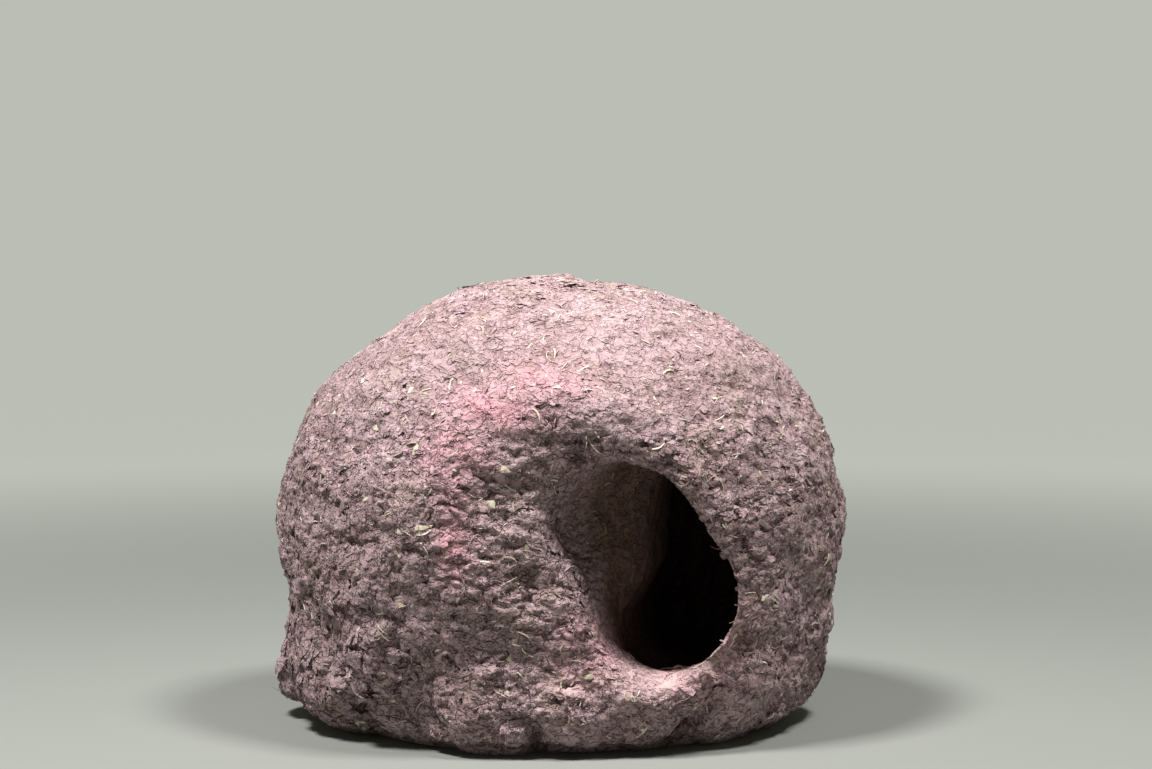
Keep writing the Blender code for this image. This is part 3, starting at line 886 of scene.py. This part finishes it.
mudBody = makeBody()
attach(mudBody, "root")
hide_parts("mud_nest")
print("mud body made:", len(mudBody.data.polygons), "faces")


def scatter(count, weight, rng):
    # random places on the rough skin, as likely as the area of the four-sided face there times a weight
    after = np.roll(surface, -1, axis=1)
    a, b, c, d = surface[:-1], surface[1:], after[1:], after[:-1]
    area = np.linalg.norm(np.cross(b - a, d - a), axis=-1) + np.linalg.norm(np.cross(b - c, d - c), axis=-1)
    likely = area * weight[:-1]
    total = np.cumsum(likely.ravel())
    chosen = np.searchsorted(total, rng.random(count) * total[-1])
    u, v = rng.random((2, count, 1))
    flat = [corner.reshape(-1, 3)[chosen] for corner in (a, b, c, d)]
    place = (1 - u) * ((1 - v) * flat[0] + v * flat[3]) + u * ((1 - v) * flat[1] + v * flat[2])
    return place, normals[:-1].reshape(-1, 3)[chosen], chosen


def frameAt(normal, spread, rng):
    # two directions along the surface, level and uphill, turned by a random angle of this spread in degrees
    count = len(normal)
    helper = np.where(np.abs(normal[:, 2:3]) < 0.97, [[0.0, 0.0, 1.0]], [[0.0, 1.0, 0.0]])
    level = unit(np.cross(helper, normal))
    uphill = np.cross(normal, level)
    angle = np.radians(rng.normal(0.0, spread, (count, 1)))
    return level * np.cos(angle) + uphill * np.sin(angle), uphill * np.cos(angle) - level * np.sin(angle)


def tilted(lifting, normal, angle):
    # turns a direction and the normal in their own plane, so that the direction's end lifts
    c, s = np.cos(angle), np.sin(angle)
    return lifting * c + normal * s, normal * c - lifting * s


# Loose edges of the mud: thin plates, flakes and crumbs that stand out of the skin.
# The radius is in metres, and the power under rarely makes large ones rare. Thickness, length and how
# far out the middle lies are shares of the radius. The lift of the lower edge and the spread of the
# directions are in degrees, and lowMore is how much more of them lie where the mud is coarse.
shards = {
    "mudPlates": {"count": 13500, "seed": 21, "corners": 7, "radius": (0.0011, 0.0034), "rarely": 2.4,
                  "thick": (0.12, 0.24), "lift": (1, 13), "long": (1.1, 1.9), "spread": 28, "out": -0.07,
                  "lowMore": 0.4, "slot": "dried_mud"},
    "mudFlakes": {"count": 15500, "seed": 22, "corners": 5, "radius": (0.0005, 0.0015), "rarely": 1.8,
                  "thick": (0.22, 0.50), "lift": (-5, 22), "long": (1.0, 2.0), "spread": 40, "out": -0.05,
                  "lowMore": 0.8, "slot": "dried_mud"},
    "mudCrumbs": {"count": 11000, "seed": 23, "corners": 4, "radius": (0.0003, 0.0009), "rarely": 1.8,
                  "thick": (0.55, 1.00), "lift": (-40, 60), "long": (1.0, 1.5), "spread": 90, "out": -0.1,
                  "lowMore": 1.3, "slot": "dried_mud"},
    "paleChips": {"count": 460, "seed": 24, "corners": 6, "radius": (0.0006, 0.0021), "rarely": 1.8,
                  "thick": (0.14, 0.28), "lift": (2, 20), "long": (1.2, 2.4), "spread": 60, "out": 0.0,
                  "lowMore": 0.0, "slot": "straw"},
}


def between(pair, share):
    return pair[0] + (pair[1] - pair[0]) * share


def offRim():
    # 0 on the mouth's very rim, 1 away from it
    return (1 - ease(0.70, 0.85, ringDepth) * ease(1.35, 1.15, ringDepth))[:, None]


ragged = {
    "corner": 0.75,  # how far a corner may slide on towards the next
    "reach": (0.55, 0.60),  # a corner's least distance, and how much more at random, in radii
    "aside": 0.6,  # how far the top may lie off the middle, in radii
    "above": 0.5,  # height of the top and depth of the bottom, in thicknesses
    "below": 0.7,
}


def makeShards(name, wants):
    # each is a low double cone over a ragged rim of a few corners, tilted and half buried
    rng = np.random.default_rng(wants["seed"])
    count, n = wants["count"], wants["corners"]
    coarse = coarseness(surface)
    weight = np.clip(strength, 0, 1) ** 2 * ease(0.002, 0.006, surface[..., 2])
    weight = weight * np.clip(1 + wants["lowMore"] * (coarse - 1) * 2, 0.1, 3)
    inClusters = 0.25 + ease(-0.35, 0.45, lumps(surface, 0.008, 71))
    weight = weight * inClusters
    weight = weight * offRim()
    place, normal, chosen = scatter(count, weight, rng)
    size = between(wants["radius"], rng.random(count) ** wants["rarely"])
    size = size * (0.4 + 0.6 * coarse.ravel()[chosen])
    level, uphill = frameAt(normal, wants["spread"], rng)
    lift = np.radians(between(wants["lift"], rng.random((count, 1)) ** 1.3))
    downhill, upward = tilted(-uphill, normal, lift)
    angle = (np.arange(n) + ragged["corner"] * rng.random((count, n))) / n * 2 * math.pi
    reach = size[:, None] * (ragged["reach"][0] + ragged["reach"][1] * rng.random((count, n)))
    alongRim = reach * np.cos(angle) * between(wants["long"], rng.random((count, 1)))
    acrossRim = reach * np.sin(angle)
    thick = size * between(wants["thick"], rng.random(count))
    upRim = thick[:, None] * 0.5 * (rng.random((count, n)) - 0.5)
    middle = place + normal * (size * wants["out"])[:, None]
    rim = (middle[:, None] + alongRim[..., None] * level[:, None] + acrossRim[..., None] * downhill[:, None]
           + upRim[..., None] * upward[:, None])
    aside = (rng.random((2, count, 1)) - 0.5) * size[:, None] * ragged["aside"]
    top = middle + upward * (thick * ragged["above"])[:, None] + level * aside[0] + downhill * aside[1]
    bottom = middle - upward * (thick * ragged["below"])[:, None]
    vertices = np.concatenate([rim, top[:, None], bottom[:, None]], axis=1)
    here, after = np.arange(n), (np.arange(n) + 1) % n
    pattern = np.concatenate([np.stack([np.full(n, n), after, here], axis=-1),
                              np.stack([np.full(n, n + 1), here, after], axis=-1)])
    faces = pattern[None] + (np.arange(count) * (n + 2))[:, None, None]
    flat = insideBox(vertices.reshape(-1, 3))
    # random tone for each shard, plus the skin's relief, which on the ramp is painted shade and painted
    # highlight
    tone = np.repeat(rng.random(count) * 0.9 - 0.35 + 0.2 * relief.ravel()[chosen], n + 2)
    values = {
        # painted highlight on each shard's top point and painted shade on its buried bottom point
        "relief": tone + np.tile([0.0] * n + [0.15, -0.5], count),
        "tone": np.repeat(0.4 + 0.6 * rng.random(count), n + 2),
        "inside": np.repeat(insideness(pointDepth[chosen]), n + 2),
        "pink": spotted(flat, pinkSpots, 41),
        "worn": spotted(flat, wornAndHighlitSpots, 42),
    }
    return newPiece(name, flat, faces.reshape(-1, 3).tolist(), finishes[wants["slot"]], values, False)


for shardName, wants in shards.items():
    shardPiece = makeShards(shardName, wants)
    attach(shardPiece, "root")
    print(shardName, "made:", len(shardPiece.data.polygons), "faces")


# Straws: flat ribbons, bent, half buried; some bare and pale, more of them coated with mud
straws = {
    "strawBits": {"count": 1500, "seed": 31, "length": (0.0020, 0.0095), "width": (0.00030, 0.00080),
                  "lift": (-4, 16), "spread": 50, "slot": "straw"},
    "mudStraws": {"count": 3600, "seed": 32, "length": (0.0030, 0.0150), "width": (0.00028, 0.00065),
                  "lift": (-4, 14), "spread": 50, "slot": "dried_mud"},
}
ribbon = {
    "steps": 5,
    "thick": 0.45,  # as a share of the width
    "bend": 0.30,  # as a share of the length
    "sideBend": 1.6,  # sideways, in bends
    "clear": 0.00015,  # how far the middle lies above the skin
    "deepest": 2.2,  # no straws further in than this place, from 1 at the rim to 3 in the room
}


def makeStraws(name, wants):
    # centre line = place + along * s + (bend up or sideways) * s^2; a four-sided ribbon is carried along it
    rng = np.random.default_rng(wants["seed"])
    count, steps = wants["count"], ribbon["steps"]
    weight = (0.25 + np.clip(strength, 0, 1)) * ease(0.002, 0.006, surface[..., 2])
    weight = weight * offRim() * (ringDepth < ribbon["deepest"])[:, None]
    place, normal, chosen = scatter(count, weight, rng)
    length = between(wants["length"], rng.random(count) ** 2.2)
    width = between(wants["width"], rng.random(count) ** 1.6)
    first, second = frameAt(normal, wants["spread"], rng)
    lift = np.radians(between(wants["lift"], rng.random((count, 1)) ** 1.5))
    first, upward = tilted(first, normal, lift)
    s = np.linspace(-0.5, 0.5, steps)[None, :]
    bendUp = ribbon["bend"] * (rng.random((count, 1)) - 0.75)
    bendSide = ribbon["bend"] * ribbon["sideBend"] * (rng.random((count, 1)) - 0.5)
    alongLine = length[:, None] * s
    upLine = length[:, None] * bendUp * (s ** 2 * 4 - 0.33) + ribbon["clear"]
    sideLine = length[:, None] * bendSide * (s ** 2 * 4 - 0.33)
    line = (place[:, None] + alongLine[..., None] * first[:, None] + upLine[..., None] * upward[:, None]
            + sideLine[..., None] * second[:, None])
    twist = rng.random((count, 1)) * 1.2 - 0.6 + s * (rng.random((count, 1)) - 0.5) * 1.5
    flatWay = second[:, None] * np.cos(twist)[..., None] + upward[:, None] * np.sin(twist)[..., None]
    thickWay = upward[:, None] * np.cos(twist)[..., None] - second[:, None] * np.sin(twist)[..., None]
    narrow = 0.55 + 0.45 * np.sqrt(1 - (2 * s) ** 2 * 0.9)
    half = (width[:, None] * narrow / 2)[..., None]
    halfThick = half * ribbon["thick"]
    wide, thick = flatWay * half, thickWay * halfThick
    corners = np.stack([line + wide - thick, line + wide + thick, line - wide + thick, line - wide - thick],
                       axis=2)
    ring = np.arange(4)
    nextCorner = (ring + 1) % 4
    step = (np.arange(steps - 1) * 4)[:, None]
    sides = np.stack([step + ring, step + nextCorner, step + 4 + nextCorner, step + 4 + ring], axis=-1)
    end = (steps - 1) * 4
    pattern = np.concatenate([sides.reshape(-1, 4), [[3, 2, 1, 0]], [[end, end + 1, end + 2, end + 3]]])
    faces = pattern[None] + (np.arange(count) * steps * 4)[:, None, None]
    flat = insideBox(corners.reshape(-1, 3))
    values = {
        "tone": np.repeat(rng.random(count), steps * 4),
        "relief": np.repeat(rng.random(count) * 1.2 - 0.3, steps * 4),
        "inside": np.repeat(insideness(pointDepth[chosen]), steps * 4),
        "pink": spotted(flat, pinkSpots, 41),
        "worn": spotted(flat, wornAndHighlitSpots, 42),
    }
    return newPiece(name, flat, faces.reshape(-1, 4).tolist(), finishes[wants["slot"]], values, False)


for strawName, wants in straws.items():
    strawPiece = makeStraws(strawName, wants)
    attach(strawPiece, "root")
    print(strawName, "made:", len(strawPiece.data.polygons), "faces")


# Studio: a pale floor that curves up into a wall all round
studio = {
    "floorRadius": 1.7,
    "bend": 0.7,
    "wallTop": 1.3,
    "around": 96,
    "rows": 40,
    "colour": (0.22, 0.232, 0.21, 1),
    "glow": (0.37, 0.385, 0.345, 1),
    "glowFrom": (0.3, 1.7),  # distances from the middle between which the glow grows
    "glowBehind": (-0.8, 0.8),  # y between which it grows from its front share to all
    "frontShare": 0.25,
}


def makeStudio():
    # profile = flat floor, quarter circle, straight wall; turned about the upright axis
    radius, bend = studio["floorRadius"], studio["bend"]
    quarter = np.linspace(0, math.pi / 2, studio["rows"])
    profile = np.concatenate([
        [[radius * 0.33, 0], [radius * 0.66, 0]],
        np.stack([radius + bend * np.sin(quarter), bend - bend * np.cos(quarter)], axis=-1),
        [[radius + bend, studio["wallTop"]]],
    ])
    turn = np.arange(studio["around"]) / studio["around"] * 2 * math.pi
    grid = np.stack([profile[:, :1] * np.cos(turn), profile[:, :1] * np.sin(turn),
                     np.repeat(profile[:, 1:], studio["around"], axis=1)], axis=-1)
    rows, columns = grid.shape[:2]
    row = np.arange(rows - 1)[:, None] * columns
    here = np.arange(columns)
    after = (here + 1) % columns
    quads = np.stack([row + here, row + after, row + columns + after, row + columns + here], axis=-1)
    quads = np.flip(quads, axis=-1).reshape(-1, 4).tolist()
    centreFan = [(rows * columns, int(a), int(b)) for a, b in zip(here, after)]
    backdrop = Shader("studioSweep")
    parts = backdrop.node("ShaderNodeSeparateXYZ", None, {0: backdrop.place}).outputs
    x, y = Value(backdrop, parts["X"]), Value(backdrop, parts["Y"])
    far = (x * x + y * y) ** 0.5
    front = studio["frontShare"]
    share = backdrop.between(*studio["glowFrom"], far)
    share = share * (backdrop.between(*studio["glowBehind"], y) * (1 - front) + front)
    glow = backdrop.mix(share, (0.0, 0.0, 0.0, 1), studio["glow"])
    backdrop.feed(backdrop.finish.inputs["Emission Color"], glow)
    backdrop.finish.inputs["Emission Strength"].default_value = 1.0
    backdrop.finish.inputs["Base Color"].default_value = studio["colour"]
    backdrop.finish.inputs["Roughness"].default_value = 0.9
    vertices = np.vstack([grid.reshape(-1, 3), [[0, 0, 0]]])
    return newPiece("studioSweep", vertices, quads + centreFan, backdrop.material, {}, True)


makeStudio()

lights = {
    "key": {"place": (-0.46, -0.38, 1.25), "size": 0.26, "power": 26, "colour": (1.0, 0.98, 0.98)},
    "second": {"place": (0.45, -0.29, 1.25), "size": 0.26, "power": 18, "colour": (1.0, 0.98, 0.97)},
}
aim = Vector((0.0, 0.0, 0.09))
for lightName, wants in lights.items():
    lamp = bpy.data.lights.new(lightName, "AREA")
    lamp.size, lamp.energy, lamp.color = wants["size"], wants["power"], wants["colour"]
    holder = bpy.data.objects.new(lightName, lamp)
    holder.location = wants["place"]
    holder.rotation_euler = (aim - Vector(wants["place"])).to_track_quat("-Z", "Y").to_euler()
    bpy.context.scene.collection.objects.link(holder)
world = bpy.data.worlds.new("studioAir")
world.use_nodes = True
world.node_tree.nodes["Background"].inputs["Color"].default_value = (0.82, 0.87, 0.84, 1)
world.node_tree.nodes["Background"].inputs["Strength"].default_value = 0.03
bpy.context.scene.world = world
bpy.context.scene.view_settings.view_transform = "Standard"

# Camera: 1.08 m in front of the middle and 207 mm up, tilted down
# so that the horizon lies at 290 px of 769
view = {"place": (0.0074, -1.0758, 0.207), "focalPixels": 2200, "horizonPixel": 290, "frame": (1152, 769)}
camera = bpy.data.cameras.new("camera")
camera.sensor_width = 36
camera.lens = view["focalPixels"] / view["frame"][0] * camera.sensor_width
cameraHolder = bpy.data.objects.new("camera", camera)
cameraHolder.location = view["place"]
tiltDown = math.atan((view["frame"][1] / 2 - view["horizonPixel"]) / view["focalPixels"])
cameraHolder.rotation_euler = (math.pi / 2 - tiltDown, 0, 0)
bpy.context.scene.collection.objects.link(cameraHolder)
bpy.context.scene.camera = cameraHolder
print("studio, lights and camera set")
